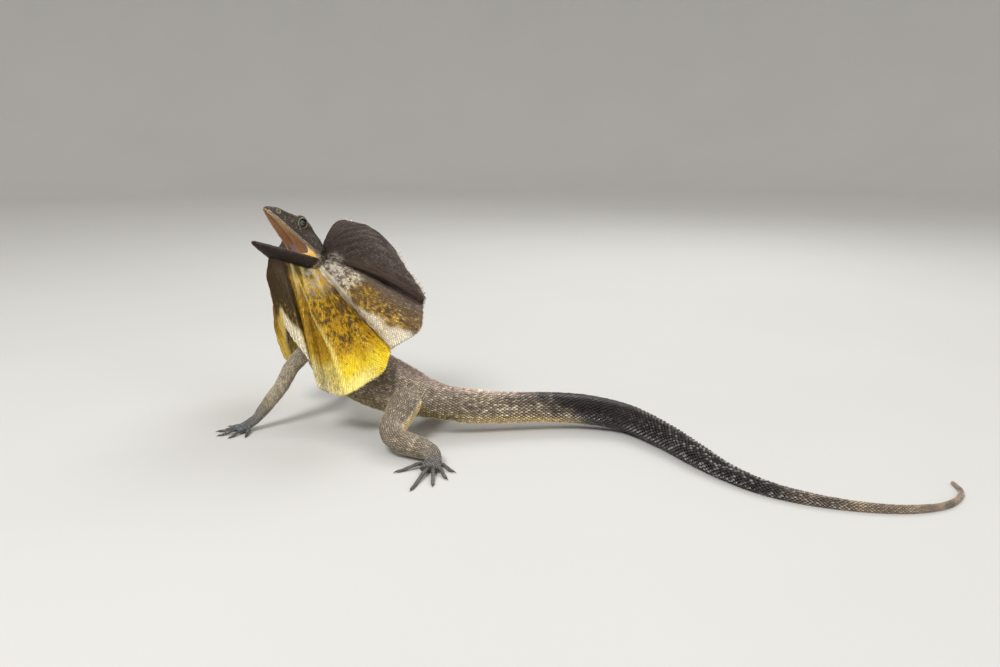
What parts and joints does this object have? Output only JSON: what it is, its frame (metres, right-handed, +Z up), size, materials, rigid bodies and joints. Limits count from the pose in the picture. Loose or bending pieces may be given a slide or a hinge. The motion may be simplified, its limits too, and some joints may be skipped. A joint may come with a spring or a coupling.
{
  "type": "frilled lizard",
  "caption": "Life-size frilled lizard model standing on four legs with its head raised, its mouth open and its frill half spread, the long tail laid out behind it along the floor.",
  "frame": {"origin": "middle of the bounding box's footprint, on the floor that the feet and tail rest on", "axes": "+Z up, the head toward -X, the tail toward +X, the animal's left side toward -Y"},
  "size_m": [0.5651, 0.3275, 0.1846],
  "materials": {
    "body_skin": "dry scaled skin",
    "head_skin": "dry scaled skin",
    "frill_skin": "dry scaled skin",
    "frill_dark": "dry scaled skin",
    "limb_skin": "dry scaled skin",
    "tail_dark": "dry keeled scales",
    "mouth": "moist and smooth",
    "eye": "wet gloss"
  },
  "bodies": {
    "root": {"head": "head_skin", "lower_jaw": "head_skin", "tongue": "mouth", "eye_left": "eye", "eye_right": "eye", "neck": "body_skin", "torso": "body_skin", "tail_base": "body_skin", "tail_middle": "tail_dark", "tail_rear": "tail_dark", "tail_tip": "tail_dark", "left_upper_arm": "limb_skin", "left_forearm": "limb_skin", "left_hand": "limb_skin", "right_upper_arm": "limb_skin", "right_forearm": "limb_skin", "right_hand": "limb_skin", "left_thigh": "limb_skin", "left_shin": "limb_skin", "left_foot": "limb_skin", "right_thigh": "limb_skin", "right_shin": "limb_skin", "right_foot": "limb_skin", "frill_left_hood": "frill_dark", "frill_left_wing": "frill_skin", "frill_left_apron": "frill_skin", "frill_throat": "frill_skin", "frill_right_apron": "frill_skin", "frill_right_wing": "frill_skin", "frill_right_hood": "frill_dark"}
  },
  "joints": []
}
